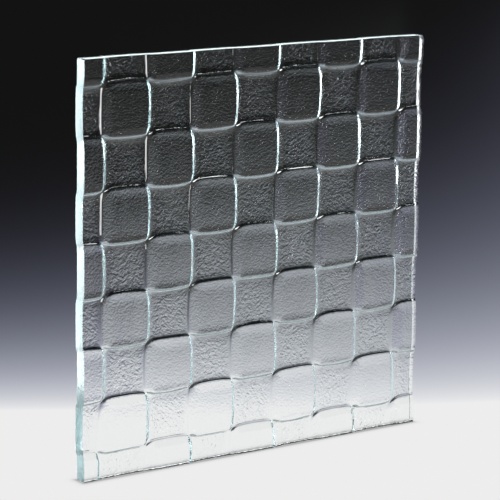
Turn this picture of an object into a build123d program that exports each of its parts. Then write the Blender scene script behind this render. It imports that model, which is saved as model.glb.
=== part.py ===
from build123d import *
import math
import os

# Square sheet of clear glass, standing on its bottom edge, its smooth side facing -Y
panel_width = 304.8
panel_height = 304.8
glass_thickness = 9.5

# Cut corners of the sheet, as seen from the front
corner_radius = 1.2
worn_corner_radius = 3.6  # the top right one, rounded more than the rest

# Checkered relief: every second cell of a square lattice is pressed forward,
# and the back follows the front, so that the cells are all equally thick
cell_pitch = 38.1
relief_step = 2.2

# A raised cell seen from the front is a square with bowed sides and round corners.
# Its outline at half the step is this far outside and inside the lattice lines.
side_swell = 0.5
corner_draw = 0.3
cell_corner_radius = 1.6
least_corner_radius = 0.5

# The step between raised and sunk cells is a soft S-shaped flank in front. Behind, it is a crisp
# S-shaped flank with a low foot that flattens outwards. Each is made of narrow straight slopes.
front_flank_run = 13.0
front_sections = 4
back_flank_run = 2.2
back_foot_run = 6.5
back_foot_share = 0.2

# The raised cell in the lower left corner is pressed short: its right side is this much further left
short_cell_slip = 4.5

depth = glass_thickness + relief_step
front_sunk = relief_step - depth / 2
back_sunk = depth / 2
trim = cell_pitch  # how far the untrimmed sheet reaches past each edge


def front_plane(y):
    """A plane facing -Y at the given depth, with its X and Y along the sheet's X and Z."""
    return Plane(origin=(0, y, 0), x_dir=(1, 0, 0), z_dir=(0, -1, 0))


def bowed_side(half, swell):
    """The upper side of a cell: an arc between two corners that swells outwards."""
    return ThreePointArc((-half, half), (0, half + swell), (half, half))


def cell_outline(grow):
    """One raised cell's outline about the origin, grown on all sides by the given length."""
    half = cell_pitch / 2 - corner_draw + grow
    with BuildSketch(Plane.XY) as outline:
        with BuildLine():
            with PolarLocations(0, 4):
                add(bowed_side(half, side_swell + corner_draw))
        make_face()
        fillet(outline.vertices(), max(cell_corner_radius + grow, least_corner_radius))
    return outline.sketch


def s_slope(outside, run):
    """Height of an S-shaped flank at a distance outside its middle, from 0 at its foot to 1 at its top."""
    share = min(max(0.5 - outside / run, 0), 1)
    return (1 - math.cos(math.pi * share)) / 2


def footed_slope(outside):
    """Height of the crisp flank with its foot, at a distance outside the crisp part's middle."""
    foot = (1 - max(outside / back_foot_run, 0)) ** 2
    return s_slope(outside, back_flank_run) * (1 - back_foot_share) + foot * back_foot_share


def front_flank():
    """Places on the front flank from its foot to its top, each as outward offset and height."""
    places = []
    for section in range(front_sections):
        offset = front_flank_run * (0.5 - section / (front_sections - 1))
        places.append((offset, relief_step * s_slope(offset, front_flank_run)))
    return places


def back_flank():
    """Places on the back flank from its foot to its top, each as outward offset and height."""
    offsets = (back_foot_run, back_foot_run / 2, back_flank_run / 2, 0, -back_flank_run / 2)
    return [(offset, relief_step * footed_slope(offset)) for offset in offsets]


def build_raised_cell(flank):
    """What a raised cell adds to the sunk level: a low pad whose flank runs through the given places."""
    with BuildPart() as pad:
        for offset, height in flank:
            with BuildSketch(front_plane(-height)):
                add(cell_outline(offset))
        loft(ruled=True)
    return pad.part


def raised_centres():
    """Middles of the raised cells as (x, z), for every cell that reaches the sheet."""
    columns = math.ceil(panel_width / 2 / cell_pitch)
    rows = math.ceil(panel_height / 2 / cell_pitch)
    centres = []
    for column in range(-columns, columns + 1):
        for row in range(-rows, rows + 1):
            if (column + row) % 2 == 0:
                slip = short_cell_slip if (column, row) == (-columns, -rows) else 0
                centres.append((column * cell_pitch - slip, panel_height / 2 + row * cell_pitch))
    return centres


def top_right_corner(outline):
    """The right one of an outline's two highest corners."""
    return outline.vertices().sort_by(Axis.Y)[-2:].sort_by(Axis.X)[-1]


def sheet_outline():
    """The cut sheet seen from the front, with its top right corner rounded more than the others."""
    with BuildSketch(Plane.XY) as outline:
        with Locations((0, panel_height / 2)):
            Rectangle(panel_width, panel_height)
        worn = top_right_corner(outline)
        others = [corner for corner in outline.vertices() if corner != worn]
        fillet(others, corner_radius)
        fillet(top_right_corner(outline), worn_corner_radius)
    return outline.sketch


def build_glass_panel():
    """The whole sheet: sunk level, raised cells in front, their hollows behind, cut to size."""
    raised_pad = build_raised_cell(front_flank())
    hollow_behind = build_raised_cell(back_flank())
    with BuildPart() as glass_panel:
        with BuildSketch(front_plane(front_sunk)):
            with Locations((0, panel_height / 2)):
                Rectangle(panel_width + 2 * trim, panel_height + 2 * trim)
        extrude(amount=-glass_thickness)
        with Locations([(x, front_sunk, z) for x, z in raised_centres()]):
            add(raised_pad)
        with Locations([(x, back_sunk, z) for x, z in raised_centres()]):
            add(hollow_behind, mode=Mode.SUBTRACT)
        with BuildSketch(front_plane(0)):
            add(sheet_outline())
        extrude(amount=depth, both=True, mode=Mode.INTERSECT)
    glass_panel.part.label = "glass_panel"
    return glass_panel


os.makedirs("parts", exist_ok=True)
glass_panel = build_glass_panel()
export_step(glass_panel.part, "parts/glass_panel.step")
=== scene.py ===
"""Dresses the kiln-formed glass panel: its relief, its glass, and a plain studio round it."""
import math

import bmesh
import bpy
from mathutils import Matrix, Vector


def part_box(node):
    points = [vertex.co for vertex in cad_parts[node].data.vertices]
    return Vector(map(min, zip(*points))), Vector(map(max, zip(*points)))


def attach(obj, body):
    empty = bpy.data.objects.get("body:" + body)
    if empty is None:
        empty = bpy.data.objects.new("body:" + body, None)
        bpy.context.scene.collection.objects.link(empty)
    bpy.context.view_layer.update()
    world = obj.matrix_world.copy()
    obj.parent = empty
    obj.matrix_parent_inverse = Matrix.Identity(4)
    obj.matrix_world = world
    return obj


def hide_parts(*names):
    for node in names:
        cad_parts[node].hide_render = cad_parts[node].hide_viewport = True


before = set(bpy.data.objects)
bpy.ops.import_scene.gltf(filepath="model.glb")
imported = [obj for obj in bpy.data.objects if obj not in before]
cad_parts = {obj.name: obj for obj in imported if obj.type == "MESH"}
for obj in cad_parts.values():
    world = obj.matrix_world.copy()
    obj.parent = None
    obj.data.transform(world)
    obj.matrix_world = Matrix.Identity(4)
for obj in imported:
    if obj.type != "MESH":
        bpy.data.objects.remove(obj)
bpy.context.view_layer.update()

bl_info = {
    "name": "Kiln-formed glass panel",
    "version": (1, 0, 0),
    "blender": (4, 5, 0),
    "location": "View3D > Sidebar > Glass Panel",
    "description": "Makes a sheet of glass with a checkered relief and a plain studio to show it in",
    "category": "Object",
}

PANEL_NODE = "glass_panel"
PANEL_LOW, PANEL_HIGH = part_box(PANEL_NODE)
PANEL_WIDTH = PANEL_HIGH[0] - PANEL_LOW[0]
PANEL_DEPTH = PANEL_HIGH[1] - PANEL_LOW[1]
PANEL_HEIGHT = PANEL_HIGH[2] - PANEL_LOW[2]
MM = 0.001
TINY = 1e-6  # keeps a division by a length of 0 harmless


def length(name, description, default):
    """A property that holds a length in metres."""
    return bpy.props.FloatProperty(
        name=name, description=description, default=default, unit="LENGTH", precision=5, soft_min=0.0
    )


def point(name, description, default):
    """A property that holds a point in metres."""
    return bpy.props.FloatVectorProperty(
        name=name, description=description, default=default, subtype="TRANSLATION", unit="LENGTH"
    )


def angle(name, description, degrees):
    """A property that holds an angle, given in degrees."""
    return bpy.props.FloatProperty(
        name=name, description=description, default=math.radians(degrees), subtype="ANGLE"
    )


def number(name, description, default):
    """A property that holds a plain number."""
    return bpy.props.FloatProperty(name=name, description=description, default=default)


def colour(name, description, default):
    """A property that holds a linear colour."""
    return bpy.props.FloatVectorProperty(
        name=name, description=description, default=default, subtype="COLOR", size=3, min=0.0, max=1.0
    )


class GlassSheetSizes(bpy.types.PropertyGroup):
    """Sizes of the sheet and its relief."""

    relief_step: length("Relief step", "How far raised cells stand in front of sunk ones", 2.2 * MM)
    cell_pitch: length("Cell pitch", "Spacing of the lattice lines", 38.1 * MM)
    corner_slip: length("Corner slip", "How far the lowest left cell is pressed short", 4.5 * MM)
    side_swell: length("Side swell", "How far a raised cell's side bows out past its line", 0.5 * MM)
    corner_draw: length("Corner draw", "How far a raised cell's corners stay inside the lines", 0.3 * MM)
    front_corner: length("Front corner", "Corner radius of a raised cell in front", 1.6 * MM)
    back_corner: length("Back corner", "Corner radius of a raised cell's hollow behind", 1.6 * MM)
    front_run: length("Front run", "Width of the slope round raised cells in front", 13.0 * MM)
    back_run: length("Back run", "Width of the crisp slope round their hollows behind", 2.2 * MM)
    foot_run: length("Foot run", "How far that slope's foot reaches outwards behind", 6.5 * MM)
    foot_share: number("Foot share", "Share of the step that the foot takes behind", 0.2)
    crown: length("Crown", "How much the middle of each cell is pillowed", 0.25 * MM)
    line_wander: length("Line wander", "How far the pressed lines stray from straight", 0.5 * MM)
    wander_scale: number("Wander scale", "How many strays a metre of line has", 28.0)
    arris: length("Arris", "Radius of the polished edges", 0.3 * MM)
    corner_radius: length("Corner radius", "Radius of the sheet's cut corners", 1.2 * MM)
    worn_corner: length("Worn corner", "Radius of the top right corner", 3.6 * MM)
    wrinkle_depth: length("Wrinkle depth", "Depth of the broad wrinkles behind sunk cells", 0.15 * MM)
    wrinkle_size: length("Wrinkle size", "Size of the broad wrinkles", 9.0 * MM)
    crowding: number("Crowding", "How strongly mesh lines crowd at the flanks, from 0 to 1", 0.85)
    mesh_lines: bpy.props.IntProperty(
        name="Mesh lines", description="Mesh lines across the sheet", default=212, min=32, max=212
    )
    seed: number("Seed", "Start of the random wander and wrinkles", 7.0)


class GlassFinish(bpy.types.PropertyGroup):
    """Look of the glass."""

    tint: colour("Tint", "Colour that a long way through the glass leaves", (0.07, 0.60, 0.67))
    cut_tint: colour("Cut tint", "Colour that the light takes at the cut edges", (0.62, 0.86, 0.87))
    tint_density: number("Tint density", "How much light a metre of glass takes", 2.2)
    index: number("Refractive index", "How strongly the glass bends light", 1.52)
    polish: number("Polish", "Roughness of the fire-polished faces", 0.01)
    sunk_haze: number("Sunk haze", "Roughness added behind sunk cells", 0.03)
    cut_haze: number("Cut haze", "Roughness added at the cut edges", 0.06)
    crinkle_depth: number("Crinkle depth", "Depth of the crinkle behind sunk cells, in millimetres", 0.65)
    crinkle_scale: number("Crinkle scale", "How many folds a metre of crinkle has", 440.0)
    patch_scale: number("Patch scale", "How often a metre of crinkle changes its lie", 110.0)
    grain_depth: number("Grain depth", "Depth of the fine grain behind all cells, in millimetres", 0.26)
    grain_scale: number("Grain scale", "How many grains a metre has", 700.0)
    pit_depth: number("Pit depth", "Depth of the pits behind sunk cells, in millimetres", 0.3)
    pit_scale: number("Pit scale", "How many places for pits a metre has", 150.0)
    pit_reach: number("Pit reach", "Radius of a pit, as a share of the distance between pits", 0.11)
    ripple_depth: number("Ripple depth", "Depth of the faint ripple in front, in millimetres", 0.8)
    ripple_scale: number("Ripple scale", "How many ripples a metre of front has", 60.0)
    saw_depth: number("Saw depth", "Depth of the marks on the cut edges, in millimetres", 0.06)
    saw_scale: number("Saw scale", "How many marks a metre of cut edge has", 420.0)
    saw_foot: length("Saw foot", "How far above the bottom edge the marks fade out", 2.0 * MM)


class StudioSizes(bpy.types.PropertyGroup):
    """The camera, the floor and the lights."""

    lens: number("Lens", "Focal length in millimetres", 179.8)
    sensor: number("Sensor", "Width of the camera's sensor in millimetres", 36.0)
    camera_pan: angle("Camera pan", "How far round to the left the camera stands", 36.0)
    camera_tilt: angle("Camera tilt", "How far down the camera looks", 11.46)
    camera_roll: angle("Camera roll", "Turn of the camera about its line of sight", -0.81)
    camera_distance: length("Camera distance", "From the camera to the point that it looks at", 1.838)
    camera_aim: point(
        "Camera aim", "Point that the camera looks at", (-8.6 * MM, PANEL_LOW[1], 154.9 * MM)
    )
    # The floor's tones are painted light that the floor gives off; the lamps do not light it.
    pale_floor: colour("Pale floor", "Floor under and before the panel", (0.84, 0.84, 0.84))
    far_floor: colour("Far floor", "Floor and air where the light has died away", (0.0065, 0.0065, 0.0066))
    floor_radius: length("Floor radius", "How far the floor reaches", 7.0)
    floor_drop: length("Floor drop", "How far the floor lies under the panel", 0.2 * MM)
    fade_start: length("Fade start", "How far behind the panel the floor's light starts to die", 0.12)
    contact_shade: number("Contact shade", "How much darker the floor is right beside the panel", 0.5)
    contact_reach: length("Contact reach", "How far that shade reaches", 1.8 * MM)
    right_light: number("Right light", "Brightness of the low softbox at the right", 7.5)
    right_strip_light: number("Right strip light", "Brightness of the strip behind it", 0.7)
    left_light: number("Left light", "Brightness of the softbox beside the left edge", 5.0)
    left_card_light: number("Left card light", "Brightness of the card behind on the left", 1.6)
    left_strip_light: number("Left strip light", "Brightness of the strip behind the panel", 0.8)
    high_light: number("High light", "Brightness of the high softbox behind", 1.6)
    back_strip_light: number("Back strip light", "Brightness of the strip that the top edge mirrors", 2.2)


class Socket:
    """An output socket that adds Math nodes to its tree when it is used in an expression."""

    def __init__(self, graph, output):
        self.graph = graph
        self.output = output

    def math(self, operation, *others):
        return self.graph.node("ShaderNodeMath", {"operation": operation}, [self, *others])[0]

    def swapped(self, operation, other):
        return self.graph.node("ShaderNodeMath", {"operation": operation}, [other, self])[0]

    def __add__(self, other):
        return self.math("ADD", other)

    __radd__ = __add__

    def __sub__(self, other):
        return self.math("SUBTRACT", other)

    def __rsub__(self, other):
        return self.swapped("SUBTRACT", other)

    def __mul__(self, other):
        return self.math("MULTIPLY", other)

    __rmul__ = __mul__

    def __truediv__(self, other):
        return self.math("DIVIDE", other)

    def __rtruediv__(self, other):
        return self.swapped("DIVIDE", other)

    def __neg__(self):
        return self.math("MULTIPLY", -1.0)

    def __abs__(self):
        return self.math("ABSOLUTE")

    def __pow__(self, other):
        return self.math("POWER", other)


class Made:
    """A node that was added to a tree, whose outputs are read by name or number."""

    def __init__(self, graph, made):
        self.graph = graph
        self.made = made

    def __getitem__(self, key):
        return Socket(self.graph, self.made.outputs[key])


class Graph:
    """A node tree that nodes are added to, one call each."""

    def __init__(self, tree):
        self.tree = tree

    def node(self, kind, settings=None, values=None):
        """Adds a node, gives it its settings, then its inputs' values or links, by name or in order."""
        made = self.tree.nodes.new(kind)
        for name, value in (settings or {}).items():
            setattr(made, name, value)
        pairs = values.items() if isinstance(values, dict) else enumerate(values or ())
        for key, value in pairs:
            if isinstance(value, Socket):
                self.tree.links.new(value.output, made.inputs[key])
            else:
                made.inputs[key].default_value = value
        return Made(self, made)

    def parts(self, vector):
        """The three numbers of a vector."""
        split = self.node("ShaderNodeSeparateXYZ", None, [vector])
        return split["X"], split["Y"], split["Z"]

    def vector(self, x, y, z):
        return self.node("ShaderNodeCombineXYZ", None, [x, y, z])["Vector"]


def least(a, b):
    return a.math("MINIMUM", b) if isinstance(a, Socket) else b.math("MINIMUM", a)


def most(a, b):
    return a.math("MAXIMUM", b) if isinstance(a, Socket) else b.math("MAXIMUM", a)


def between(value, low, high):
    return most(least(value, high), low)


def diagonal(a, b):
    """Length of the diagonal of two sides."""
    return (a * a + b * b) ** 0.5


def sine(value):
    return value.math("SINE")


def cosine(value):
    return value.math("COSINE")


SHEET_INPUTS = (
    ("Relief Step", "relief_step"),
    ("Cell Pitch", "cell_pitch"),
    ("Corner Slip", "corner_slip"),
    ("Side Swell", "side_swell"),
    ("Corner Draw", "corner_draw"),
    ("Front Corner", "front_corner"),
    ("Back Corner", "back_corner"),
    ("Front Run", "front_run"),
    ("Back Run", "back_run"),
    ("Foot Run", "foot_run"),
    ("Foot Share", "foot_share"),
    ("Crown", "crown"),
    ("Line Wander", "line_wander"),
    ("Wander Scale", "wander_scale"),
    ("Arris", "arris"),
    ("Corner Radius", "corner_radius"),
    ("Worn Corner", "worn_corner"),
    ("Wrinkle Depth", "wrinkle_depth"),
    ("Wrinkle Size", "wrinkle_size"),
    ("Crowding", "crowding"),
    ("Seed", "seed"),
)
RIM_STEPS = 5  # mesh steps along each rim of the sheet, over the worn corner's radius
ARRIS_STEPS = 3  # mesh steps over each broken edge, through the thickness
CORE_STEPS = 2  # mesh steps between the broken edges
THROUGH_LINES = 2 * ARRIS_STEPS + CORE_STEPS + 1
AT_RIM = 0.4999  # what lies further out on the unit block is on a cut edge
STRAY_SPREAD = 4  # spreads the noise, which stays near its middle, over the line wander
WRINKLE_DETAIL = 2.0
STRAY_DETAIL = 1.0


def crowded(index, span, rim, steps, pitch, line, crowding):
    """Place on one axis for a share of the way across: crowded at lattice lines and at both rims."""
    rim_share = RIM_STEPS / steps
    inner = between(index, rim_share - 0.5, 0.5 - rim_share)
    half = span / 2 - rim
    depth = crowding * pitch / math.tau

    def warp(place):
        return place - depth * sine((place - line) / pitch * math.tau)

    low = warp(-half)
    high = warp(half)
    place = (warp(inner * (half * (1 / (0.5 - rim_share)))) - low) / (high - low) * (half * 2) - half
    way_out = (index - inner) / rim_share
    return place + rim * way_out.math("SIGN") * (1 - (1 - abs(way_out)) ** 2)


def squared_to_round(a, b):
    """Scale that pulls the point (a, b) of a unit square in to a unit circle, and its distance."""
    reach = diagonal(a, b) + TINY
    return most(a, b) / reach, reach


def eased(value):
    """A smooth step from 0 to 1."""
    value = between(value, 0.0, 1.0)
    return value * value * (3 - 2 * value)


def lattice(graph, given, x, z):
    """Column and row of (x, z) in cells, with the stray of pressed lines and the short corner cell."""
    pitch = given["Cell Pitch"]
    spot = graph.vector(x, given["Seed"], z)
    stray = graph.node(
        "ShaderNodeTexNoise",
        {"noise_dimensions": "3D"},
        {"Vector": spot, "Scale": given["Wander Scale"], "Detail": STRAY_DETAIL},
    )
    stray_x, unused, stray_z = graph.parts(stray["Color"])
    first_line = pitch / 2 - given["Width"] / 2
    lowest_line = pitch / 2 - given["Height"] / 2
    short = (1 - eased((x - first_line) / pitch)) * (1 - eased((z - lowest_line) / pitch))
    stray_x = (stray_x - 0.5) * STRAY_SPREAD * given["Line Wander"]
    stray_z = (stray_z - 0.5) * STRAY_SPREAD * given["Line Wander"]
    column = (x + stray_x + given["Corner Slip"] * short) / pitch
    row = (z + stray_z) / pitch
    return column, row


def s_slope(outside, run):
    """Height of an S-shaped slope at a distance outside its middle line, from 0 to 1."""
    return (1 - sine(between(outside / run * 2, -1.0, 1.0) * (math.pi / 2))) / 2


def footed_slope(outside, run, foot_run, foot_share):
    """Height of a crisp slope with a foot that flattens outwards, from 0 to 1."""
    foot = (1 - between(outside / foot_run, 0.0, 1.0)) ** 2
    return s_slope(outside, run) * (1 - foot_share) + foot * foot_share


def outside_cell(given, column, row, cell_column, cell_row, corner):
    """Distance of a place from one raised cell's outline, less than 0 inside it."""
    pitch = given["Cell Pitch"]
    across = abs(column - cell_column) * pitch
    along = abs(row - cell_row) * pitch
    half = pitch / 2 - given["Corner Draw"]
    bow = given["Side Swell"] + given["Corner Draw"]
    past_across = across - half - bow * (1 - least(along / half, 1.0) ** 2) + corner
    past_along = along - half - bow * (1 - least(across / half, 1.0) ** 2) + corner
    outside = diagonal(most(past_across, 0.0), most(past_along, 0.0))
    inside = least(most(past_across, past_along), 0.0)
    return outside + inside - corner


def relief(graph, given, x, z):
    """How raised the front and the back are at (x, z), and how far each middle is pillowed."""
    column, row = lattice(graph, given, x, z)
    nearest_column = column.math("ROUND")
    nearest_row = row.math("ROUND")
    off_column = column - nearest_column
    off_row = row - nearest_row
    sunk = abs(nearest_column + nearest_row).math("MODULO", 2.0).math("GREATER_THAN", 0.5)
    aside = off_column.math("SIGN")
    up = off_row.math("SIGN")
    beside = (nearest_column + sunk * aside, nearest_row)
    above = (nearest_column + (1 - sunk) * aside, nearest_row + up)

    def lifted(slope, corner, *widths):
        one = slope(outside_cell(given, column, row, *beside, corner), *widths)
        other = slope(outside_cell(given, column, row, *above, corner), *widths)
        return 1 - (1 - one) * (1 - other)

    front = lifted(s_slope, given["Front Corner"], given["Front Run"])
    back = lifted(
        footed_slope, given["Back Corner"], given["Back Run"], given["Foot Run"], given["Foot Share"]
    )
    pillow = 1 - cosine(off_column * math.pi) * cosine(off_row * math.pi)
    return front, back, pillow


def build_sheet_tree():
    """A node tree that forms a closed sheet of glass with a checkered relief."""
    tree = bpy.data.node_groups.new("kiln_formed_sheet", "GeometryNodeTree")
    tree.interface.new_socket("Geometry", in_out="INPUT", socket_type="NodeSocketGeometry")
    tree.interface.new_socket("Geometry", in_out="OUTPUT", socket_type="NodeSocketGeometry")
    kinds = {name: "NodeSocketFloat" for name in ("Width", "Height", "Thickness")}
    kinds.update({name: "NodeSocketFloat" for name, held in SHEET_INPUTS})
    kinds["Mesh Lines"] = "NodeSocketInt"
    kinds["Glass"] = "NodeSocketMaterial"
    ids = {}
    for name, kind in kinds.items():
        ids[name] = tree.interface.new_socket(name, in_out="INPUT", socket_type=kind).identifier
    graph = Graph(tree)
    given = graph.node("NodeGroupInput")

    block = graph.node(
        "GeometryNodeMeshCube",
        None,
        {
            "Size": (1.0, 1.0, 1.0),
            "Vertices X": given["Mesh Lines"],
            "Vertices Y": THROUGH_LINES,
            "Vertices Z": given["Mesh Lines"],
        },
    )
    index_x, index_y, index_z = graph.parts(graph.node("GeometryNodeInputPosition")["Position"])

    width, height, thickness = given["Width"], given["Height"], given["Thickness"]
    arris, worn = given["Arris"], given["Worn Corner"]
    pitch, crowding = given["Cell Pitch"], given["Crowding"]
    steps = given["Mesh Lines"] - 1
    x = crowded(index_x, width, worn, steps, pitch, pitch / 2, crowding)
    z = crowded(index_z, height, worn, steps, pitch, pitch / 2, crowding)

    rim_share = ARRIS_STEPS / (THROUGH_LINES - 1)
    inner = between(index_y, rim_share - 0.5, 0.5 - rim_share)
    y = inner / (0.5 - rim_share) * (thickness / 2 - arris) + (index_y - inner) / rim_share * arris

    top_right = x.math("GREATER_THAN", 0.0) * z.math("GREATER_THAN", 0.0)
    radius = given["Corner Radius"] + top_right * (worn - given["Corner Radius"])
    over_x = most(abs(x) - (width / 2 - radius), 0.0) / radius
    over_z = most(abs(z) - (height / 2 - radius), 0.0) / radius
    pull, reach = squared_to_round(over_x, over_z)

    inwards = most(1 - radius * (1 - most(over_x, over_z)) / arris, 0.0)
    towards = most(1 - (thickness / 2 - abs(y)) / arris, 0.0)
    edge_pull, unused = squared_to_round(inwards, towards)
    inset = arris * inwards * (1 - edge_pull)
    sink = arris * towards * (1 - edge_pull)
    out_x = least(abs(x), width / 2 - radius) + radius * over_x * pull - inset * over_x / reach
    out_z = least(abs(z), height / 2 - radius) + radius * over_z * pull - inset * over_z / reach
    x = x.math("SIGN") * out_x
    z = z.math("SIGN") * out_z
    y = y - y.math("SIGN") * sink

    front, back, pillow = relief(graph, given, x, z)
    lift = given["Relief Step"] - 2 * given["Crown"] * pillow
    through = between(y / thickness + 0.5, 0.0, 1.0)
    wrinkle = graph.node(
        "ShaderNodeTexNoise",
        {"noise_dimensions": "3D"},
        {
            "Vector": graph.vector(x, given["Seed"], z),
            "Scale": 1 / given["Wrinkle Size"],
            "Detail": WRINKLE_DETAIL,
        },
    )["Fac"]
    wrinkled = wrinkle * given["Wrinkle Depth"] * through * (1 - back)
    forward = ((front + (back - front) * through) - 0.5) * lift + wrinkled
    cut_edge = most(abs(index_x), abs(index_z)).math("GREATER_THAN", AT_RIM)

    shape = block["Mesh"]
    for name, field in (("raised", back), ("behind", through), ("cut_edge", cut_edge)):
        shape = graph.node(
            "GeometryNodeStoreNamedAttribute",
            {"data_type": "FLOAT", "domain": "POINT"},
            {"Geometry": shape, "Name": name, "Value": field},
        )["Geometry"]
    place = graph.vector(x, y - forward, z + height / 2)
    shape = graph.node("GeometryNodeSetPosition", None, {"Geometry": shape, "Position": place})["Geometry"]
    smooth = graph.node("GeometryNodeSetShadeSmooth", None, {"Geometry": shape})
    real = graph.node("GeometryNodeRealizeInstances", None, {"Geometry": smooth["Geometry"]})
    glazed = graph.node(
        "GeometryNodeSetMaterial", None, {"Geometry": real["Geometry"], "Material": given["Glass"]}
    )
    graph.node("NodeGroupOutput", None, {"Geometry": glazed["Geometry"]})
    return tree, ids


WHITE = (1.0, 1.0, 1.0, 1.0)
BLACK = (0.0, 0.0, 0.0, 1.0)
MIX_FIRST, MIX_SECOND, MIX_RESULT = 6, 7, 2  # places of the Mix node's colour sockets
PATCH_CONTRAST = 5  # how sharply one lie of the crinkle gives way to the other
PATCH_MIDDLE = 0.5  # the middle of the noise, where the two lies are mixed evenly
FOLD_STRETCH = 0.6  # less than 1 makes the folds of the crinkle longer than wide
LEVEL_FADE = 6  # how soon the texture fades out on the slopes between cells
BEHIND_FROM = 0.95  # share of the way through the sheet from which a face is the back
RIPPLE_STRETCH = 0.3  # less than 1 draws the ripple in front out upwards
SAW_STRETCH = 2  # more than 1 makes the marks on the cut edges longer along them
SAW_DETAIL = 2.0


def new_material(name):
    """An empty node material and its graph."""
    material = bpy.data.materials.new(name)
    material.use_nodes = True
    material.node_tree.nodes.clear()
    return material, Graph(material.node_tree)


def clear_glass(finish):
    """Clear glass with a faint tint: polished in front, grained and crinkled behind, satin at the cuts."""
    material, graph = new_material("kiln_formed_glass")
    raised = graph.node("ShaderNodeAttribute", {"attribute_name": "raised"})["Fac"]
    behind = graph.node("ShaderNodeAttribute", {"attribute_name": "behind"})["Fac"]
    cut = graph.node("ShaderNodeAttribute", {"attribute_name": "cut_edge"})["Fac"]
    spot = graph.node("ShaderNodeTexCoord")["Object"]
    x, y, z = graph.parts(spot)

    def noise(vector, scale, detail=1.0):
        return graph.node(
            "ShaderNodeTexNoise",
            {"noise_dimensions": "3D"},
            {"Vector": vector, "Scale": scale, "Detail": detail},
        )["Fac"]

    sunk = 1 - raised
    backed = behind.math("GREATER_THAN", BEHIND_FROM) * (1 - cut)
    level = 1 - between(raised * sunk * LEVEL_FADE, 0.0, 1.0)

    rising = noise(graph.vector((x + z) * FOLD_STRETCH, y, z - x), finish.crinkle_scale)
    falling = noise(graph.vector((x - z) * FOLD_STRETCH, y, x + z), finish.crinkle_scale)
    patches = eased((noise(spot, finish.patch_scale) - PATCH_MIDDLE) * PATCH_CONTRAST + PATCH_MIDDLE)
    crinkle = (rising * patches + falling * (1 - patches)) * sunk * finish.crinkle_depth
    grain = noise(spot, finish.grain_scale) * finish.grain_depth
    seeds = graph.node(
        "ShaderNodeTexVoronoi",
        {"feature": "F1"},
        {"Vector": spot, "Scale": finish.pit_scale, "Randomness": 1.0},
    )["Distance"]
    pits = between(1 - seeds / finish.pit_reach, 0.0, 1.0) ** 2 * sunk * finish.pit_depth
    texture = backed * level * (crinkle + grain + pits)

    fronted = (1 - backed) * (1 - cut)
    ripple = noise(graph.vector(x, y, z * RIPPLE_STRETCH), finish.ripple_scale)
    marks = noise(graph.vector(x, y * SAW_STRETCH, z), finish.saw_scale, SAW_DETAIL)
    above_foot = 1 - (z / -finish.saw_foot).math("EXPONENT")
    height = texture + ripple * finish.ripple_depth * fronted + marks * finish.saw_depth * cut * above_foot
    bump = graph.node("ShaderNodeBump", None, {"Height": height, "Strength": 1.0, "Distance": MM})
    teal = graph.node(
        "ShaderNodeMix",
        {"data_type": "RGBA"},
        {"Factor": cut, MIX_FIRST: WHITE, MIX_SECOND: (*finish.cut_tint, 1.0)},
    )[MIX_RESULT]
    glass = graph.node(
        "ShaderNodeBsdfPrincipled",
        None,
        {
            "Base Color": teal,
            "Roughness": finish.polish + backed * sunk * finish.sunk_haze + cut * finish.cut_haze,
            "IOR": finish.index,
            "Transmission Weight": 1.0,
            "Normal": bump["Normal"],
        },
    )
    body = graph.node(
        "ShaderNodeVolumeAbsorption", None, {"Color": (*finish.tint, 1.0), "Density": finish.tint_density}
    )
    graph.node(
        "ShaderNodeOutputMaterial", None, {"Surface": glass["BSDF"], "Volume": body["Volume"]}
    )
    return material


class GLASS_OT_sheet(bpy.types.Operator):
    """Forms the sheet of glass with its raised and sunk cells"""

    bl_idname = "glass.sheet"
    bl_label = "Form Glass Sheet"

    def execute(self, context):
        sizes = context.scene.glass_sheet
        glass = clear_glass(context.scene.glass_finish)
        tree, ids = build_sheet_tree()
        carrier = bpy.data.objects.new("sheet_former", bpy.data.meshes.new("sheet_former"))
        context.scene.collection.objects.link(carrier)
        former = carrier.modifiers.new("former", "NODES")
        former.node_group = tree
        former[ids["Width"]] = PANEL_WIDTH
        former[ids["Height"]] = PANEL_HEIGHT
        former[ids["Thickness"]] = PANEL_DEPTH - sizes.relief_step
        for name, held in SHEET_INPUTS:
            former[ids[name]] = getattr(sizes, held)
        former[ids["Mesh Lines"]] = sizes.mesh_lines
        former[ids["Glass"]] = glass
        evaluated = carrier.evaluated_get(context.evaluated_depsgraph_get())
        mesh = bpy.data.meshes.new_from_object(evaluated)
        carrier.modifiers.remove(former)
        bpy.data.objects.remove(carrier)
        mesh.name = "textured_sheet"
        sheet = bpy.data.objects.new("textured_sheet", mesh)
        context.scene.collection.objects.link(sheet)
        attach(sheet, "root")
        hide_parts(PANEL_NODE)
        return {"FINISHED"}


# The floor's painted light: where it dies away behind the panel, and where it dims in front
FADE_RATES = (5.6, 5.35, 4.3)  # how fast red, green and blue die away behind the panel, per metre
FADE_POWERS = (0.835, 0.85, 0.91)  # less than 1 draws the end of the fade out
GLASS_CLOSER = (0.34, 0.36, 0.28)  # how much nearer the painted fade lies where the camera sees the floor through the glass
GLASS_SPREAD = 0.055  # half the panel's width as the camera sees it, over its distance
GLASS_EDGE = 0.013  # width of the change at its sides, over its distance
SIDE_LEAN = 1.28  # how much further the light reaches on the right, over the distance behind
SIDE_LEAN_START = 0.04  # what is taken off that near the panel
SIDE_KEPT = 0.5  # how far to the sides the lean holds, in metres
SIDE_LOST = 0.4  # over how far it then goes away
ROUND_KEPT = 2.2  # how far from the panel the floor is lit all round
ROUND_LOST = 2.0  # over how far that light goes away
FRONT_DIM = 0.65  # how much the floor dims towards the viewer
FRONT_DIM_FROM = 0.5  # how far before the panel that starts, in metres
FRONT_DIM_OVER = 0.5
CARD_DIM = 0.4  # how much it dims where the white card under the panel ends on the right
CARD_EDGE = 0.48  # how far to the right that is, in metres
CARD_EDGE_OVER = 0.03
CARD_END = 0.2  # how far before the panel it starts
CARD_END_OVER = 0.1
FLOOR_SEGMENTS = 96
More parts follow.
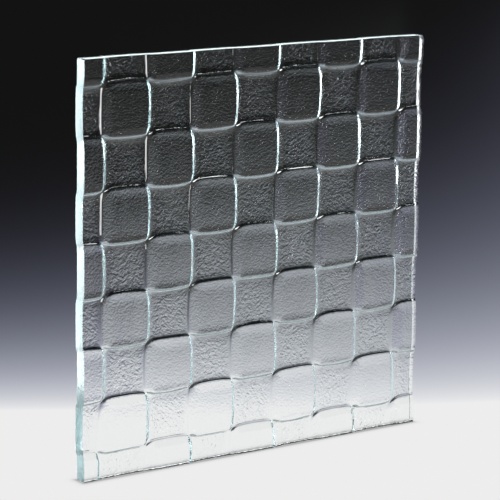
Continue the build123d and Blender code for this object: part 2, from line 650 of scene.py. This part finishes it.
GLASS_BOUNCES = 32  # light crosses many faces on its way along the sheet


def painted_front_light(x, y):
    """Painted light on the floor in front: it dims towards the viewer, and more so past the white card's
    edge.
    """
    dimmed = 1 - FRONT_DIM * eased((-y - FRONT_DIM_FROM) / FRONT_DIM_OVER)
    past_card = eased((x - CARD_EDGE) / CARD_EDGE_OVER) * eased((-y - CARD_END) / CARD_END_OVER)
    return dimmed * (1 - CARD_DIM * past_card)


def studio_floor(studio):
    """A pale floor that gives off painted light instead of being lit by the lamps: its light dies away
    behind the panel, sooner on the left, and a painted contact shadow darkens it beside the panel.
    """
    material, graph = new_material("studio_floor")
    x, y, z = graph.parts(graph.node("ShaderNodeTexCoord")["Object"])
    pan = studio.camera_pan
    ahead = x * math.sin(pan) + y * math.cos(pan)
    aside = x * math.cos(pan) - y * math.sin(pan)
    kept_aside = aside * (1 - eased((abs(aside) - SIDE_KEPT) / SIDE_LOST))
    lean = (SIDE_LEAN * most(ahead, 0.0) - SIDE_LEAN_START) * kept_aside
    past = most(ahead - lean - studio.fade_start, 0.0)
    # The floor's painted light is laid out from the camera's pan and distance, and changes where the camera
    # sees the floor through the glass.
    spread = abs(aside) / (ahead + studio.camera_distance)
    in_glass = 1 - eased((spread - GLASS_SPREAD) / GLASS_EDGE)
    tones = []
    for rate, power, closer in zip(FADE_RATES, FADE_POWERS, GLASS_CLOSER):
        tones.append((-((past * (1 - closer * in_glass) * rate) ** power)).math("EXPONENT"))
    painted_light_pool = graph.vector(*tones)
    # Painted contact shadow: the floor's painted light is darkened right beside the panel's footprint.
    off_sheet = diagonal(most(abs(x) - PANEL_WIDTH / 2, 0.0), most(abs(y) - PANEL_DEPTH / 2, 0.0))
    painted_contact_shadow = 1 - studio.contact_shade * (off_sheet / -studio.contact_reach).math("EXPONENT")
    round_off = 1 - eased((diagonal(x, y) - ROUND_KEPT) / ROUND_LOST)
    strength = painted_front_light(x, y) * painted_contact_shadow * round_off

    def combined(operation, first, second):
        return graph.node("ShaderNodeVectorMath", {"operation": operation}, [first, second])["Vector"]

    lit = combined("MULTIPLY", painted_light_pool, graph.vector(strength, strength, strength))
    pale = combined("MULTIPLY", lit, tuple(studio.pale_floor))
    tone = combined("ADD", pale, tuple(studio.far_floor))
    # The floor takes no light from the lamps: its base colour is black, and its whole tone, painted pool of
    # light and painted shadow, is given off as emission.
    paint = graph.node(
        "ShaderNodeBsdfPrincipled",
        None,
        {
            "Base Color": BLACK,
            "Roughness": 1.0,
            "Specular IOR Level": 0.0,
            "Emission Color": tone,
            "Emission Strength": 1.0,
        },
    )
    graph.node("ShaderNodeOutputMaterial", None, {"Surface": paint["BSDF"]})
    return material


def softbox(context, name, place, aim, size, brightness, mirrored=True, through=True):
    """A soft rectangular light aimed at a point, unseen by the camera.

    Unless it is told otherwise, it is mirrored in surfaces and seen through the glass.
    """
    data = bpy.data.lights.new(name, "AREA")
    data.shape = "RECTANGLE"
    data.size, data.size_y = size
    data.energy = brightness * math.pi * data.size * data.size_y
    lamp = bpy.data.objects.new(name, data)
    lamp.location = place
    lamp.rotation_euler = (Vector(place) - Vector(aim)).to_track_quat("Z", "Y").to_euler()
    lamp.visible_camera = False
    lamp.visible_glossy = mirrored
    lamp.visible_transmission = through
    context.scene.collection.objects.link(lamp)


def set_up_lamps(context, studio):
    """The lamps: most light the relief's lines through the glass, and two are mirrored at its edges."""
    softbox(
        context,
        "right_softbox",
        place=(1.3, -0.1, 0.12),
        aim=(0.0, -0.1, 0.12),
        size=(1.0, 0.22),
        brightness=studio.right_light,
        mirrored=False,
    )
    softbox(
        context,
        "right_strip",
        place=(0.95, 0.4, 0.4),
        aim=(0.0, 0.4, 0.4),
        size=(0.3, 0.8),
        brightness=studio.right_strip_light,
        mirrored=False,
    )
    softbox(
        context,
        "left_softbox",
        place=(-0.3, 0.2, 0.2),
        aim=(-0.152, 0.0, 0.18),
        size=(0.4, 0.5),
        brightness=studio.left_light,
        through=False,
    )
    softbox(
        context,
        "left_card",
        place=(-0.4, 0.34, 0.31),
        aim=(-0.13, -0.03, 0.27),
        size=(0.4, 0.4),
        brightness=studio.left_card_light,
        mirrored=False,
    )
    softbox(
        context,
        "left_strip",
        place=(0.08, 0.6, 0.2),
        aim=(0.0, 0.0, 0.2),
        size=(0.05, 0.3),
        brightness=studio.left_strip_light,
        mirrored=False,
    )
    softbox(
        context,
        "high_softbox",
        place=(0.94, 1.294, 0.9),
        aim=(0.0, 0.0, 0.9),
        size=(1.0, 0.5),
        brightness=studio.high_light,
        mirrored=False,
    )
    softbox(
        context,
        "back_strip",
        place=(0.9, 1.2, 0.6),
        aim=(0.0, 0.0, 0.4),
        size=(0.9, 0.3),
        brightness=studio.back_strip_light,
        through=False,
    )


def set_up_camera(context, studio):
    """The camera, with a long lens, at the photograph's viewing angle."""
    camera = bpy.data.cameras.new("camera")
    camera.lens = studio.lens
    camera.sensor_width = studio.sensor
    eye = bpy.data.objects.new("camera", camera)
    pan, tilt, roll = studio.camera_pan, studio.camera_tilt, studio.camera_roll
    forward = Vector((math.sin(pan) * math.cos(tilt), math.cos(pan) * math.cos(tilt), -math.sin(tilt)))
    right = Vector((math.cos(pan), -math.sin(pan), 0.0))
    up = right.cross(forward)
    turned_right = right * math.cos(roll) - up * math.sin(roll)
    turned_up = right * math.sin(roll) + up * math.cos(roll)
    turn = Matrix((turned_right, turned_up, -forward)).transposed()
    stand = Vector(studio.camera_aim) - forward * studio.camera_distance
    eye.matrix_world = Matrix.Translation(stand) @ turn.to_4x4()
    context.scene.collection.objects.link(eye)
    context.scene.camera = eye


class GLASS_OT_studio(bpy.types.Operator):
    """Makes the floor, the soft lights and the camera"""

    bl_idname = "glass.studio"
    bl_label = "Set Up Studio"

    def execute(self, context):
        studio = context.scene.glass_studio
        disc = bpy.data.meshes.new("studio_floor")
        shape = bmesh.new()
        bmesh.ops.create_circle(
            shape, cap_ends=True, radius=studio.floor_radius, segments=FLOOR_SEGMENTS
        )
        shape.transform(Matrix.Translation((0.0, 0.0, -studio.floor_drop)))
        shape.to_mesh(disc)
        shape.free()
        floor = bpy.data.objects.new("studio_floor", disc)
        context.scene.collection.objects.link(floor)
        disc.materials.append(studio_floor(studio))

        world = bpy.data.worlds.new("studio_air")
        world.use_nodes = True
        air = world.node_tree.nodes["Background"]
        air.inputs["Color"].default_value = (*studio.far_floor, 1.0)
        context.scene.world = world

        set_up_lamps(context, studio)
        set_up_camera(context, studio)

        context.scene.view_settings.view_transform = "Standard"
        cycles = context.scene.cycles
        cycles.max_bounces = GLASS_BOUNCES
        cycles.glossy_bounces = GLASS_BOUNCES
        cycles.transmission_bounces = GLASS_BOUNCES
        return {"FINISHED"}


class GLASS_PT_panel(bpy.types.Panel):
    """Lists what can be made"""

    bl_label = "Glass Panel"
    bl_idname = "GLASS_PT_panel"
    bl_space_type = "VIEW_3D"
    bl_region_type = "UI"
    bl_category = "Glass Panel"

    def draw(self, context):
        layout = self.layout
        for group in (context.scene.glass_sheet, context.scene.glass_finish, context.scene.glass_studio):
            box = layout.box()
            for name in group.__annotations__:
                box.prop(group, name)
        for operator in (GLASS_OT_studio, GLASS_OT_sheet):
            layout.operator(operator.bl_idname)


CLASSES = (
    GlassSheetSizes,
    GlassFinish,
    StudioSizes,
    GLASS_OT_sheet,
    GLASS_OT_studio,
    GLASS_PT_panel,
)


def register():
    for kind in CLASSES:
        bpy.utils.register_class(kind)
    bpy.types.Scene.glass_sheet = bpy.props.PointerProperty(type=GlassSheetSizes)
    bpy.types.Scene.glass_finish = bpy.props.PointerProperty(type=GlassFinish)
    bpy.types.Scene.glass_studio = bpy.props.PointerProperty(type=StudioSizes)


def unregister():
    del bpy.types.Scene.glass_studio
    del bpy.types.Scene.glass_finish
    del bpy.types.Scene.glass_sheet
    for kind in reversed(CLASSES):
        bpy.utils.unregister_class(kind)


def main():
    """Makes the studio and the panel."""
    register()
    bpy.ops.glass.studio()
    bpy.ops.glass.sheet()


if __name__ == "__main__":
    main()
